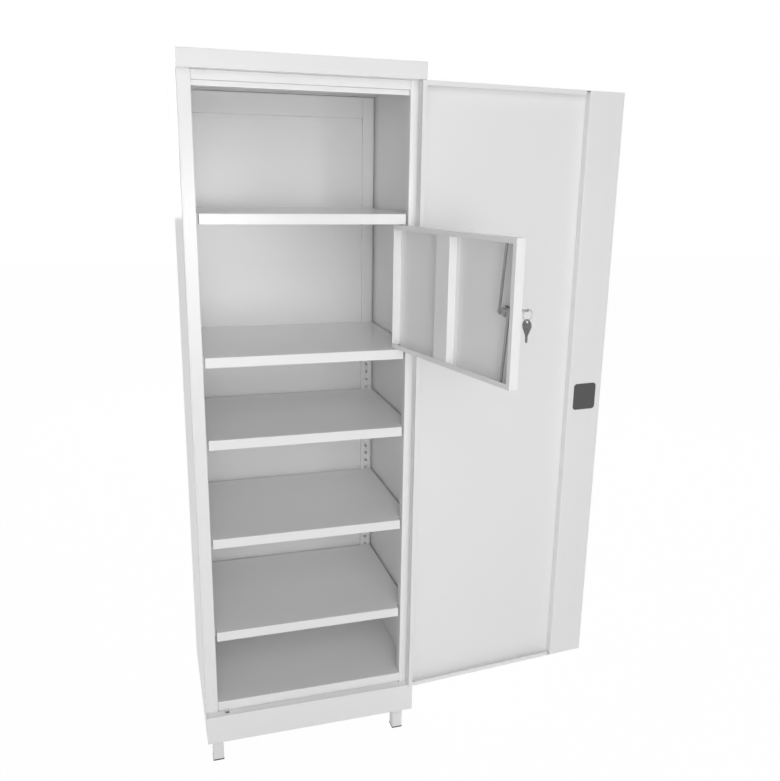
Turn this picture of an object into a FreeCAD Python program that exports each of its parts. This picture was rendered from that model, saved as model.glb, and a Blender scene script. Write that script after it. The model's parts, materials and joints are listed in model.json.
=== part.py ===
"""Tall folded-steel medical cabinet with a lockable inner compartment.

Millimetres, +Z up.  The origin is on the floor under the centre of the carcass.
The front is at -Y.  Both doors are drawn shut and then turned open on their pins,
because the cabinet stands with both doors open.
"""
import FreeCAD, Part
import math
import os

# Sheet steel
SHEET = 1.0
BEND = 1.5                      # mid-line radius of every fold
SEAT_GAP = 0.3                  # between pieces that seat beside each other
PIN_GAP = 0.06                  # radial play of a turning pin in its bore
FIXED_PIN_GAP = 0.03            # radial play of a pin that stays in its hole
OVERRUN = 2.0                   # how far a cutter passes the face that it opens

# Carcass
CABINET_WIDTH = 500.0
CABINET_DEPTH = 400.0
CABINET_HEIGHT = 1595.0
CAP_HEIGHT = 34.4
CAP_FRONT_RETURN = 36.0
CAP_RETURN = 12.0
PLINTH_UNDERSIDE = 78.0
PLINTH_HEIGHT = 68.6
PLINTH_RETURN = 14.0
FLOOR_RISE = 23.3               # inner floor above the plinth's ledge
FLOOR_FLANGE = 20.0
STILE_SETBACK = 22.0            # stile plane behind the front of the cap and plinth
STILE_WIDTH = 28.0
STILE_RETURN = 13.5
REAR_FLANGE = 13.5
BACK_FLANGE = 12.0
CORNER_RELIEF = 3.0

# Rails under the cap
HEADER_FACE = 19.1
HEADER_STEP = 9.5
HEADER_LIP = 10.0
REAR_RAIL_HEIGHT = 49.0
REAR_RAIL_DEPTH = 8.0
REAR_RAIL_FOOT = 10.0

# Uprights and the holes that the shelf clips hook into
UPRIGHT_WIDTH = 26.5
REAR_UPRIGHT_DEPTH = 9.3
REAR_UPRIGHT_INSET = 5.1        # from the side wall
FRONT_UPRIGHT_DEPTH = 24.0
HOLE_PITCH = 21.0
HOLE_SIZE = 6.5
HOLE_DROP = 16.0                # a hole's centre below the top of the shelf next to it
HOLES_BELOW = 2                 # holes of a group below and above the one by the shelf
HOLES_ABOVE = 4

# Shelves
SHELF_FLANGE = 22.0
SHELF_RETURN = 12.0
SHELF_SETBACK = 3.0             # shelf lip behind the stile plane
SHELF_FRONT_INSET = 4.5         # shelf lip inside the stile's inner edge
SHELF_SIDE_INSET = 4.0          # shelf edge inside the side wall
SHELF_NOTCH_GAP = 3.0           # loose shelf behind the front uprights
TOP_COMPARTMENT_HEIGHT = 270.6  # strongbox roof's top below the cap
STRONGBOX_HEIGHT = 296.5        # from its floor's top to its roof's top
UPPER_COMPARTMENT_HEIGHT = 182.1    # highest loose shelf's top below the strongbox floor's
LOW_SHELF_HEIGHT = 179.5        # top of the lowest loose shelf above the inner floor
LOOSE_SHELF_COUNT = 3
ROOF_RETURN = 32.0

# Shelf clips
CLIP_SHEET = 1.4
CLIP_WIDTH = 5.6
CLIP_LEDGE = 11.0
CLIP_BARB = 7.0
CLIP_PLAY = 0.2                 # between a clip and the sheet that it hooks over

# Legs
LEG_SIZE = 25.0
LEG_WALL = 1.5
LEG_CORNER = 0.9                # flat across the tube's tight outer corner
LEG_SIDE_INSET = 13.0           # from the outside of the side wall
LEG_REAR_INSET = 15.0           # in front of the cabinet's back
FOOT_HEIGHT = 3.5
FOOT_OVERHANG = 0.4
FOOT_PLUG_DEPTH = 16.0
FOOT_CHAMFER = 0.8

# Main door
DOOR_GAP = 1.0                  # door's hinge edge inside the side wall's face
DOOR_FREE_GAP = 2.0             # door's free edge inside the side wall's face
DOOR_TOP_GAP = 1.6
DOOR_LEDGE_GAP = 1.4
DOOR_DEPTH = 20.0
DOOR_LIP = 10.0
LOCK_CHANNEL_WIDTH = 91.0       # from the free edge to the channel's side wall
LIP_STOP = 10.0                 # top and bottom lips end this far before the channel
CHANNEL_FOOT = 14.0
HINGE_SIDE_OFFSET = 6.0         # pivot axis from the door's hinge edge
HINGE_FACE_OFFSET = 6.0         # pivot axis from the door's outer face
DOOR_OPEN_ANGLE = 184.8
PIVOT_DIAMETER = 5.0
PIVOT_REACH = 9.0               # pin past the flange that it carries
BUSH_WALL = 1.5
BUSH_COLLAR_RIM = 1.4           # collar's edge past the bush
BUSH_LENGTH = 5.0
GLIDE_DIAMETER = 8.0
GLIDE_STAND = 1.1
GLIDE_INSET = 6.0               # behind the door's outer face

# Strongbox door
BOX_DOOR_DEPTH = 20.0
BOX_DOOR_SETBACK = 13.0         # outer face behind the stile plane
BOX_DOOR_SIDE_INSET = 6.5       # hinge edge inside the stile's inner edge
BOX_DOOR_FREE_INSET = 7.5       # free edge inside the other stile's inner edge
BOX_DOOR_TOP_GAP = 1.5
BOX_DOOR_FLOOR_GAP = 2.0
BOX_DOOR_LIP = 10.0
BOX_HINGE_OFFSET = 4.0          # pivot axis from the door's hinge edge and outer face
BOX_DOOR_OPEN_ANGLE = 102.5
BOX_PIVOT_DIAMETER = 4.0
BOX_PIVOT_REACH = 7.0
BOX_BUSH_WALL = 0.8
STIFFENER_START = 170.0         # from the hinge edge
STIFFENER_WIDTH = 50.0
STIFFENER_FOOT = 9.0

# Rod mechanism, alike in both doors
CRANK_RADIUS = 14.0             # lift of the rods in a quarter turn
CRANK_SHEET = 2.0
CRANK_END = 6.0                 # crank's edge past its pins, and half its width
CRANK_CORNER = 3.0
CRANK_PIN_DIAMETER = 4.0
CRANK_PIN_HEAD_WIDTH = 6.4
CRANK_PIN_HEAD_HEIGHT = 0.8
ROD_WIDTH = 6.0
ROD_THICKNESS = 2.0
ROD_EYE_RADIUS = 4.6
ROD_EYE_GAP = 0.2               # between an eye and the crank beside it
ROD_TIP_DROP = 0.2              # tip of a drawn-in rod below the door's edge
ROD_GUIDE_GAP = 0.5
RECEIVER_SIZE = 9.5

# Main lock
LOCK_INSET = 46.0               # turning axis from the free edge, half way up the door
CRANK_DEPTH = 10.8              # crank's outer face behind the door's outer face
COVER_WIDTH = 62.0
COVER_HEIGHT = 65.2
COVER_CORNER = 8.0
COVER_STAND = 1.2
COVER_EDGE = 0.5
COVER_SPIGOT = 1.4              # cover's spigot past the inside of the channel's face
COVER_WINDOW_EDGE = 6.0         # cover's edge past the window that it closes
COVER_TOP_OFFSET = 0.6          # centre of the cover above the turning axis
ESCUTCHEON_WIDTH = 50.0
ESCUTCHEON_HEIGHT = 66.0
ESCUTCHEON_CORNER = 8.0
ESCUTCHEON_STAND = 3.0
ESCUTCHEON_EDGE = 1.0
KNOB_WIDTH = 14.0
KNOB_LENGTH = 46.0
KNOB_HEIGHT = 18.0
KNOB_CORNER = 5.0
KNOB_EDGE = 1.0
KNOB_FLOAT = 0.5
KNOB_SPINDLE_RADIUS = 5.5
CYLINDER_RADIUS = 4.0
CYLINDER_STAND = 0.6
CYLINDER_DEPTH = 12.0
KEYWAY_WIDTH = 1.2
KEYWAY_LENGTH = 5.0
KEYWAY_DEPTH = 6.0
CRANK_NUT_WIDTH = 10.0
CRANK_NUT_HEIGHT = 2.6
SPINDLE_SQUARE = 6.0

# Strongbox lock
BOX_LOCK_INSET = 34.0           # turning axis from the free edge
BOX_LOCK_HEIGHT = 137.5         # turning axis above the door's lower edge
BOX_CRANK_DEPTH = 11.0
BARREL_SIZE = 17.0
BARREL_HEAD_RADIUS = 12.5
BARREL_HEAD_HEIGHT = 3.5
BARREL_NUT_WIDTH = 22.0
BARREL_NUT_HEIGHT = 3.5
PLUG_RADIUS = 6.0
PLUG_STAND = 0.4

# Planes that the pieces share
HALF_WIDTH = CABINET_WIDTH / 2
FRONT = -CABINET_DEPTH / 2
BACK = CABINET_DEPTH / 2
WALL_INSIDE = HALF_WIDTH - SHEET
STILE = FRONT + STILE_SETBACK
STILE_BACK = STILE + SHEET
STILE_EDGE = HALF_WIDTH - STILE_WIDTH
STILE_TIP = STILE + STILE_RETURN
CAP_UNDERSIDE = CABINET_HEIGHT - CAP_HEIGHT
LEDGE = PLINTH_UNDERSIDE + PLINTH_HEIGHT
FLOOR_TOP = LEDGE + FLOOR_RISE
BACK_PANEL_FRONT = BACK - 2 * SHEET
REAR_UPRIGHT_FRONT = BACK_PANEL_FRONT - REAR_UPRIGHT_DEPTH
REAR_UPRIGHT_OUT = WALL_INSIDE - REAR_UPRIGHT_INSET
REAR_UPRIGHT_IN = REAR_UPRIGHT_OUT - UPRIGHT_WIDTH
FRONT_UPRIGHT_BACK = STILE_BACK + FRONT_UPRIGHT_DEPTH
FRONT_UPRIGHT_IN = STILE_EDGE + SHEET
UPRIGHT_TOP = CAP_UNDERSIDE - SHEET - BEND
UPRIGHT_HEIGHT = UPRIGHT_TOP - FLOOR_TOP
CLIP_LINE = (REAR_UPRIGHT_IN + REAR_UPRIGHT_OUT) / 2
SHELF_FRONT = STILE + SHELF_SETBACK
SHELF_SIDE = WALL_INSIDE - SHELF_SIDE_INSET
SHELF_FRONT_SIDE = STILE_EDGE - SHELF_FRONT_INSET
BOX_ROOF_TOP = CAP_UNDERSIDE - TOP_COMPARTMENT_HEIGHT
BOX_FLOOR_TOP = BOX_ROOF_TOP - STRONGBOX_HEIGHT
LOW_SHELF_TOP = FLOOR_TOP + LOW_SHELF_HEIGHT
SHELF_RUN = BOX_FLOOR_TOP - UPPER_COMPARTMENT_HEIGHT - LOW_SHELF_TOP
HOLES_TO_NEXT_SHELF = round(SHELF_RUN / HOLE_PITCH) // (LOOSE_SHELF_COUNT - 1)
LOOSE_SHELF_TOPS = [LOW_SHELF_TOP + level * HOLES_TO_NEXT_SHELF * HOLE_PITCH
                    for level in range(LOOSE_SHELF_COUNT)]
LEG_TOP = FLOOR_TOP - SHEET

DOOR_HINGE_EDGE = HALF_WIDTH - DOOR_GAP
DOOR_FREE_EDGE = -HALF_WIDTH + DOOR_FREE_GAP
DOOR_WIDTH = DOOR_HINGE_EDGE - DOOR_FREE_EDGE
DOOR_SILL = LEDGE + DOOR_LEDGE_GAP
DOOR_HEAD = CAP_UNDERSIDE - DOOR_TOP_GAP
DOOR_HEIGHT = DOOR_HEAD - DOOR_SILL
DOOR_PIVOT = FreeCAD.Vector(DOOR_HINGE_EDGE - HINGE_SIDE_OFFSET, FRONT + HINGE_FACE_OFFSET, 0)
CHANNEL_WALL = DOOR_FREE_EDGE + LOCK_CHANNEL_WIDTH
LIP_END = CHANNEL_WALL + LIP_STOP
LOCK_X = DOOR_FREE_EDGE + LOCK_INSET
LOCK_Z = (DOOR_SILL + DOOR_HEAD) / 2

BOX_DOOR_FACE = STILE + BOX_DOOR_SETBACK
BOX_DOOR_HINGE_EDGE = STILE_EDGE - BOX_DOOR_SIDE_INSET
BOX_DOOR_FREE_EDGE = BOX_DOOR_FREE_INSET - STILE_EDGE
BOX_DOOR_WIDTH = BOX_DOOR_HINGE_EDGE - BOX_DOOR_FREE_EDGE
BOX_DOOR_SILL = BOX_FLOOR_TOP + BOX_DOOR_FLOOR_GAP
BOX_DOOR_HEAD = BOX_ROOF_TOP - SHELF_FLANGE - BOX_DOOR_TOP_GAP
BOX_DOOR_HEIGHT = BOX_DOOR_HEAD - BOX_DOOR_SILL
BOX_PIVOT = FreeCAD.Vector(BOX_DOOR_HINGE_EDGE - BOX_HINGE_OFFSET,
                           BOX_DOOR_FACE + BOX_HINGE_OFFSET, 0)
BOX_LOCK_X = BOX_DOOR_FREE_EDGE + BOX_LOCK_INSET
BOX_LOCK_Z = BOX_DOOR_SILL + BOX_LOCK_HEIGHT
ROOF_UNDERSIDE = BOX_ROOF_TOP - SHELF_FLANGE
EYE_CENTRE = CRANK_SHEET + ROD_EYE_GAP + ROD_THICKNESS / 2
ROD_DEPTH = CRANK_DEPTH + EYE_CENTRE
BOX_ROD_DEPTH = BOX_CRANK_DEPTH + EYE_CENTRE
LEG_FRONT = STILE_TIP + SHEET + BEND + SEAT_GAP
LEG_REAR = BACK - LEG_REAR_INSET - LEG_SIZE
LEG_LEFT = HALF_WIDTH - LEG_SIDE_INSET - LEG_SIZE

X_AXIS = FreeCAD.Vector(1, 0, 0)
Y_AXIS = FreeCAD.Vector(0, 1, 0)
Z_AXIS = FreeCAD.Vector(0, 0, 1)
ORIGIN = FreeCAD.Vector(0, 0, 0)
QUARTER_TURN = 90
HALF_TURN = 180


def vector(x=0.0, y=0.0, z=0.0):
    """Point or direction."""
    return FreeCAD.Vector(x, y, z)


def in_plan(first, second):
    """Section drawn in plan: first is X and second is Y."""
    return vector(first, second, 0)


def in_profile(first, second):
    """Section seen from the side: first is Y and second is Z."""
    return vector(0, first, second)


def flat_face(points):
    """Plane face inside a closed run of points."""
    return Part.Face(Part.makePolygon(list(points) + [points[0]]))


def folded_section(corners, thickness=SHEET, bend=BEND):
    """Face of a folded sheet's section, from the plane corners of its mid-line."""
    half = thickness / 2
    steps = [(b - a).normalize() for a, b in zip(corners, corners[1:])]
    plane_normal = next(a.cross(b).normalize() for a, b in zip(steps, steps[1:])
                        if a.cross(b).Length > 0)
    lefts = [plane_normal.cross(step) for step in steps]
    sides = []
    for side in (1, -1):
        edges = []
        pen = corners[0] + lefts[0] * (side * half)
        for index in range(1, len(corners) - 1):
            before, after = steps[index - 1], steps[index]
            turn = before.getAngle(after)
            inward = math.copysign(1, before.cross(after).dot(plane_normal))
            centre = corners[index] - before * (bend * math.tan(turn / 2))
            centre = centre + lefts[index - 1] * (inward * bend)
            radius = bend - side * inward * half
            middle = (lefts[index - 1] + lefts[index]).normalize()
            start = centre - lefts[index - 1] * (inward * radius)
            end = centre - lefts[index] * (inward * radius)
            edges.append(Part.makeLine(pen, start))
            edges.append(Part.Arc(start, centre - middle * (inward * radius), end).toShape())
            pen = end
        tip = corners[-1] + lefts[-1] * (side * half)
        edges.append(Part.makeLine(pen, tip))
        sides.append(edges)
    caps = [Part.makeLine(corners[0] + lefts[0] * (side * half), corners[0]) for side in (1, -1)]
    tips = [Part.makeLine(corners[-1] + lefts[-1] * (side * half), corners[-1])
            for side in (1, -1)]
    wire = Part.Wire(Part.__sortEdges__(sides[0] + sides[1] + caps + tips))
    return Part.Face(wire)


def mitred_section(corners, along, thickness=SHEET):
    """Face of a folded sheet's section with sharp bends, for what is small or out of sight."""
    half = thickness / 2
    steps = [(b - a).normalize() for a, b in zip(corners, corners[1:])]
    normals = [along.cross(step) for step in steps]
    shifts = [normals[0]]
    shifts += [(a + b) * (1 / (1 + a.dot(b))) for a, b in zip(normals, normals[1:])]
    shifts.append(normals[-1])
    near = [corner + shift * half for corner, shift in zip(corners, shifts)]
    far = [corner - shift * half for corner, shift in zip(corners, shifts)]
    return flat_face(near + far[::-1])


def folded_strip(corners, direction, thickness=SHEET, bend=BEND):
    """Folded sheet of one section, extruded."""
    return folded_section(corners, thickness, bend).extrude(direction)


def mirrored(shape):
    """The same piece on the other side of the cabinet."""
    return shape.mirror(ORIGIN, X_AXIS)


def prism(outline, low, high):
    """Upright block over a plan outline."""
    face = flat_face([vector(x, y, low) for x, y in outline])
    return face.extrude(vector(0, 0, high - low))


def inset_outline(outline, insets):
    """Plan outline with each side moved inwards by its own distance."""
    points = [vector(x, y) for x, y in outline]
    count = len(points)
    lines = []
    for index in range(count):
        step = (points[(index + 1) % count] - points[index]).normalize()
        lines.append((points[index] + vector(-step.y, step.x) * insets[index], step))
    moved = []
    for index in range(count):
        (base, step), (other, other_step) = lines[index - 1], lines[index]
        across = vector(-other_step.y, other_step.x)
        reach = (other - base).dot(across) / step.dot(across)
        corner = base + step * reach
        moved.append((corner.x, corner.y))
    return moved


def round_level_edges(solid, level, radius):
    """Solid with all its edges at one height rounded."""
    edges = [edge for edge in solid.Edges
             if all(abs(v.Point.z - level) < SHEET / 100 for v in edge.Vertexes)]
    return solid.makeFillet(radius, edges)


def tray(outline, depth, lips, front_only=False):
    """Folded tray: a plate at height zero, flanges down to -depth, lips along the rim.

    front_only leaves every bend sharp but the first, where the others don't show.
    """
    has_lip = any(lips)
    shell = prism(outline, -depth, 0)
    if front_only:
        front = outline[0][1]
        edges = [edge for edge in shell.Edges
                 if all(v.Point.z == 0 and v.Point.y == front for v in edge.Vertexes)]
        shell = shell.makeFillet(BEND, edges)
    else:
        shell = round_level_edges(shell, 0, BEND)
    inside = inset_outline(outline, [SHEET] * len(outline))
    bottom = -depth + SHEET if has_lip else -depth - OVERRUN
    room = prism(inside, bottom, -SHEET)
    mouth = inset_outline(outline, [max(lip, SHEET) for lip in lips])
    opened = shell.cut(room)
    if has_lip:
        opened = opened.cut(prism(mouth, -depth - OVERRUN, bottom + SHEET))
    return opened


def chamfer_level_edges(solid, level, width):
    """Solid with all its edges at one height chamfered."""
    edges = [edge for edge in solid.Edges
             if all(abs(v.Point.z - level) < SHEET / 100 for v in edge.Vertexes)]
    return solid.makeChamfer(width, edges)


def cylinder(radius, height, base, direction=Z_AXIS):
    """Round bar."""
    return Part.makeCylinder(radius, height, base, direction)


def square_block(size, height, base):
    """Square block, centred on its base point."""
    return Part.makeBox(size, size, height, base - vector(size / 2, size / 2))


def receiver(x, y, level, height):
    """Cutter for the square hole that a locking rod shoots into."""
    return square_block(RECEIVER_SIZE, height, vector(x, y, level))


def save(node, solids):
    """Write one named piece."""
    shape = solids if isinstance(solids, Part.Shape) else Part.makeCompound(solids)
    shape = shape.removeSplitter()
    shape.exportStep("parts/" + node + ".step")
    print(node, "solids", len(shape.Solids), "valid", shape.isValid())


def side_panel():
    """Right side wall with its rear flange and front stile, open at top and bottom."""
    mid = SHEET / 2
    corners = [in_plan(HALF_WIDTH - REAR_FLANGE, BACK - mid),
               in_plan(HALF_WIDTH - mid, BACK - mid),
               in_plan(HALF_WIDTH - mid, STILE + mid),
               in_plan(STILE_EDGE + mid, STILE + mid),
               in_plan(STILE_EDGE + mid, STILE_TIP)]
    wall = folded_strip(corners, vector(z=CAP_UNDERSIDE - PLINTH_UNDERSIDE))
    return wall.translated(vector(z=PLINTH_UNDERSIDE))


def back_panel():
    """Sheet across the back, inside the side walls, flanged at top and bottom."""
    mid = SHEET / 2
    plane = BACK - SHEET - mid
    corners = [in_profile(plane - BACK_FLANGE, CAP_UNDERSIDE - mid),
               in_profile(plane, CAP_UNDERSIDE - mid),
               in_profile(plane, PLINTH_UNDERSIDE + mid),
               in_profile(plane - BACK_FLANGE, PLINTH_UNDERSIDE + mid)]
    width = 2 * (WALL_INSIDE - BEND)
    return mitred_section(corners, X_AXIS).extrude(vector(width)).translated(vector(-width / 2))


def top_cap():
    """Upside-down tray with returns, holed for the upper rod."""
    outline = [(-HALF_WIDTH, FRONT), (HALF_WIDTH, FRONT), (HALF_WIDTH, BACK), (-HALF_WIDTH, BACK)]
    cap = tray(outline, CAP_HEIGHT, [CAP_FRONT_RETURN, CAP_RETURN, CAP_RETURN, CAP_RETURN])
    cap.translate(vector(z=CABINET_HEIGHT))
    below = CAP_UNDERSIDE - OVERRUN
    depth = 2 * OVERRUN
    return cap.cut(receiver(LOCK_X, FRONT + ROD_DEPTH, below, depth))


def ceiling_panel():
    """Sheet that closes the cap from inside, resting on its returns."""
    side = WALL_INSIDE - SEAT_GAP
    front = STILE_BACK
    rear = BACK - SHEET - SEAT_GAP
    base = CAP_UNDERSIDE + SHEET
    return prism([(-side, front), (side, front), (side, rear), (-side, rear)], base, base + SHEET)


def header_rail():
    """Stepped rail between the stiles, under the cap."""
    mid = SHEET / 2
    face = STILE + mid
    step = face + HEADER_STEP
    low = CAP_UNDERSIDE - HEADER_FACE
    corners = [in_profile(face + HEADER_STEP, CAP_UNDERSIDE - mid),
               in_profile(face, CAP_UNDERSIDE - mid),
               in_profile(face, low + mid),
               in_profile(step, low + mid),
               in_profile(step, low - HEADER_LIP)]
    width = 2 * (STILE_EDGE - SEAT_GAP)
    return folded_strip(corners, vector(width)).translated(vector(-width / 2))


def rear_top_rail():
    """Hat-shaped stiffener across the top of the back panel."""
    mid = SHEET / 2
    foot = BACK_PANEL_FRONT - mid
    face = BACK_PANEL_FRONT - REAR_RAIL_DEPTH + mid
    top = UPRIGHT_TOP - mid
    low = top - REAR_RAIL_HEIGHT
    corners = [in_profile(foot, low - REAR_RAIL_FOOT), in_profile(foot, low),
               in_profile(face, low), in_profile(face, top), in_profile(BACK_PANEL_FRONT, top)]
    width = 2 * (REAR_UPRIGHT_IN - SEAT_GAP)
    return folded_strip(corners, vector(width)).translated(vector(-width / 2))


def plinth():
    """Front box of the base: fascia, ledge and ends, open at the back."""
    outline = [(-HALF_WIDTH, FRONT), (HALF_WIDTH, FRONT), (HALF_WIDTH, STILE), (-HALF_WIDTH, STILE)]
    box = tray(outline, PLINTH_HEIGHT, [PLINTH_RETURN, SHEET, 0, SHEET])
    box.translate(vector(z=LEDGE))
    rear = prism([(-WALL_INSIDE, STILE - 2 * SHEET), (WALL_INSIDE, STILE - 2 * SHEET),
                  (WALL_INSIDE, STILE + OVERRUN), (-WALL_INSIDE, STILE + OVERRUN)],
                 PLINTH_UNDERSIDE - OVERRUN, LEDGE - SHEET)
    depth = 2 * OVERRUN
    below = LEDGE - depth / 2
    holes = [receiver(LOCK_X, FRONT + ROD_DEPTH, below, depth)]
    for side in (1, -1):
        inset = HALF_WIDTH - SHEET - CORNER_RELIEF / 2
        holes.append(square_block(CORNER_RELIEF, depth, vector(side * inset, FRONT + CORNER_RELIEF, below)))
    return box.cut([rear] + holes)


def floor_panel():
    """Inner floor, notched behind the stiles, with an apron behind the plinth."""
    side = WALL_INSIDE - SEAT_GAP
    apron = STILE_EDGE - SEAT_GAP
    notch = STILE_TIP + SEAT_GAP
    outline = [(-apron, STILE), (apron, STILE), (apron, notch), (side, notch),
               (side, BACK_PANEL_FRONT), (-side, BACK_PANEL_FRONT), (-side, notch), (-apron, notch)]
    floor = tray(outline, FLOOR_FLANGE, [0] * len(outline), front_only=True)
    return floor.translated(vector(z=FLOOR_TOP))


def shelf(notch, rear, lips_front):
    """Shelf tray narrowed between the stiles and the front uprights."""
    outline = [(-SHELF_FRONT_SIDE, SHELF_FRONT), (SHELF_FRONT_SIDE, SHELF_FRONT),
               (SHELF_FRONT_SIDE, notch), (SHELF_SIDE, notch)] + rear
    outline += [(-SHELF_SIDE, notch), (-SHELF_FRONT_SIDE, notch)]
    lips = [lips_front] + [0] * (len(outline) - 1)
    return tray(outline, SHELF_FLANGE, lips, front_only=True)


def fixed_shelf(front_return):
    """Shelf that bears on all four uprights and runs back to the rear panel between them."""
    inner = REAR_UPRIGHT_IN - SEAT_GAP
    rear = [(SHELF_SIDE, REAR_UPRIGHT_FRONT), (inner, REAR_UPRIGHT_FRONT),
            (inner, BACK_PANEL_FRONT), (-inner, BACK_PANEL_FRONT),
            (-inner, REAR_UPRIGHT_FRONT), (-SHELF_SIDE, REAR_UPRIGHT_FRONT)]
    return shelf(FRONT_UPRIGHT_BACK, rear, front_return)


def loose_shelf():
    """Shelf that rests on four clips."""
    end = REAR_UPRIGHT_FRONT - SEAT_GAP
    return shelf(FRONT_UPRIGHT_BACK + SHELF_NOTCH_GAP, [(SHELF_SIDE, end), (-SHELF_SIDE, end)],
                 SHELF_RETURN)


def strongbox_roof():
    """Fixed shelf whose deep return takes the strongbox door's upper pin and rod."""
    hole = receiver(BOX_LOCK_X, BOX_DOOR_FACE + BOX_ROD_DEPTH, ROOF_UNDERSIDE - OVERRUN, 2 * OVERRUN)
    return fixed_shelf(ROOF_RETURN).translated(vector(z=BOX_ROOF_TOP)).cut(hole)


def strongbox_floor():
    """Fixed shelf whose plate takes the strongbox door's lower pin and rod."""
    low = BOX_FLOOR_TOP - SHEET - OVERRUN
    hole = receiver(BOX_LOCK_X, BOX_DOOR_FACE + BOX_ROD_DEPTH, low, SHEET + 2 * OVERRUN)
    return fixed_shelf(SHELF_RETURN).translated(vector(z=BOX_FLOOR_TOP)).cut(hole)


def hole_levels():
    """Heights of the clip holes: a group round the level of each loose shelf."""
    steps = {level * HOLES_TO_NEXT_SHELF + step for level in range(LOOSE_SHELF_COUNT)
             for step in range(-HOLES_BELOW, HOLES_ABOVE + 1)}
    return [LOW_SHELF_TOP - HOLE_DROP + step * HOLE_PITCH for step in sorted(steps)]


def punched(channel, face_low, face_high):
    """Channel with its row of square clip holes cut through the web."""
    half = HOLE_SIZE / 2
    holes = [prism([(CLIP_LINE - half, face_low), (CLIP_LINE + half, face_low),
                    (CLIP_LINE + half, face_high), (CLIP_LINE - half, face_high)],
                   level - half, level + half) for level in hole_levels()]
    return channel.cut(holes)


def rear_upright():
    """Right rear channel, its web to the front and its flanks on the back panel."""
    mid = SHEET / 2
    web = REAR_UPRIGHT_FRONT + mid
    corners = [in_plan(REAR_UPRIGHT_IN + mid, BACK_PANEL_FRONT), in_plan(REAR_UPRIGHT_IN + mid, web),
               in_plan(REAR_UPRIGHT_OUT - mid, web), in_plan(REAR_UPRIGHT_OUT - mid, BACK_PANEL_FRONT)]
    channel = mitred_section(corners, Z_AXIS).extrude(vector(z=UPRIGHT_HEIGHT))
    channel.translate(vector(z=FLOOR_TOP))
    return punched(channel, web - SHEET, web + SHEET)


def front_upright():
    """Right front channel inside the stile, its web to the back."""
    mid = SHEET / 2
    web = FRONT_UPRIGHT_BACK - mid
    corners = [in_plan(FRONT_UPRIGHT_IN + mid, STILE_BACK + BEND),
               in_plan(FRONT_UPRIGHT_IN + mid, web), in_plan(WALL_INSIDE - mid, web),
               in_plan(WALL_INSIDE - mid, STILE_BACK + BEND)]
    channel = mitred_section(corners, Z_AXIS).extrude(vector(z=UPRIGHT_HEIGHT))
    channel.translate(vector(z=FLOOR_TOP))
    return punched(channel, web - SHEET, web + SHEET)


def shelf_clip(toward):
    """Clip at height zero of its ledge: barb behind the web, ledge under the shelf.

    The web's shelf-side face is at Y zero and the shelf is toward +Y or -Y.
    """
    mid = CLIP_SHEET / 2
    behind = -SHEET - CLIP_PLAY - mid
    before = CLIP_PLAY + mid
    drop = SHELF_FLANGE - HOLE_DROP - HOLE_PITCH
    tongue = drop - HOLE_SIZE / 2 + mid + CLIP_PLAY
    corners = [in_profile(behind, tongue + CLIP_BARB), in_profile(behind, tongue),
               in_profile(before, tongue), in_profile(before, -mid),
               in_profile(before + CLIP_LEDGE, -mid)]
    clip = mitred_section(corners, X_AXIS, CLIP_SHEET).extrude(vector(CLIP_WIDTH))
    clip.translate(vector(-CLIP_WIDTH / 2))
    return clip if toward > 0 else clip.mirror(ORIGIN, Y_AXIS)


def leg(front):
    """Square tube leg on the right, from its plug up to the underside of the floor."""
    length = LEG_TOP - FOOT_HEIGHT
    tube = Part.makeBox(LEG_SIZE, LEG_SIZE, length)
    room = LEG_SIZE - 2 * LEG_WALL
    bore = Part.makeBox(room, room, length + 2 * OVERRUN, vector(LEG_WALL, LEG_WALL, -OVERRUN))
    upright_edges = [edge for edge in tube.Edges if edge.Length > LEG_SIZE + OVERRUN]
    tube = tube.makeChamfer(LEG_CORNER, upright_edges)
    return tube.cut(bore).translated(vector(LEG_LEFT, front, FOOT_HEIGHT))


def foot_plug(front):
    """Moulded plug pushed into the end of a leg."""
    size = LEG_SIZE + 2 * FOOT_OVERHANG
    pad = Part.makeBox(size, size, FOOT_HEIGHT, vector(-FOOT_OVERHANG, -FOOT_OVERHANG))
    rim = [edge for edge in pad.Edges if all(vertex.Point.z == 0 for vertex in edge.Vertexes)]
    pad = pad.makeChamfer(FOOT_CHAMFER, rim)
    stub_size = LEG_SIZE - 2 * LEG_WALL - 2 * SEAT_GAP
    inset = LEG_WALL + SEAT_GAP
    stub = Part.makeBox(stub_size, stub_size, FOOT_PLUG_DEPTH, vector(inset, inset, FOOT_HEIGHT))
    return pad.fuse(stub).translated(vector(LEG_LEFT, front, 0))


def stood_up(shape, left, face, sill):
    """A tray drawn flat, stood with its plate to the front."""
    upright = shape.copy()
    upright.rotate(ORIGIN, X_AXIS, QUARTER_TURN)
    return upright.translated(vector(left, face, sill))


def pivot_pin(radius, pivot, level, side, reach):
    """Stud welded on a fixed sheet's face, standing into the door.

    side is 1 for a stud that stands up and -1 for one that hangs down.
    """
    return cylinder(radius, reach, pivot + vector(z=level), Z_AXIS * side)


def pivot_bush(radius, wall, pivot, level, gap, side):
    """Square collared bush that can't turn in the door's flange, bored for its stud."""
    across = 2 * (radius + PIN_GAP + wall)
    collar = square_block(across + 2 * BUSH_COLLAR_RIM * wall / BUSH_WALL, gap - SEAT_GAP, ORIGIN)
    body = square_block(across, BUSH_LENGTH, vector(z=-BUSH_LENGTH))
    bore = cylinder(radius + PIN_GAP, BUSH_LENGTH + gap + OVERRUN, vector(z=-BUSH_LENGTH - OVERRUN / 2))
    bush = collar.fuse(body).cut(bore)
    if side < 0:
        bush = bush.mirror(ORIGIN, Z_AXIS)
    return bush.translated(pivot + vector(z=level))


def bush_hole(radius, wall, pivot, level):
    """Cutter for the bush's square hole in a door's flange."""
    across = 2 * (radius + PIN_GAP + wall + FIXED_PIN_GAP)
    return square_block(across, 2 * OVERRUN, pivot + vector(z=level - OVERRUN))


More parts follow.
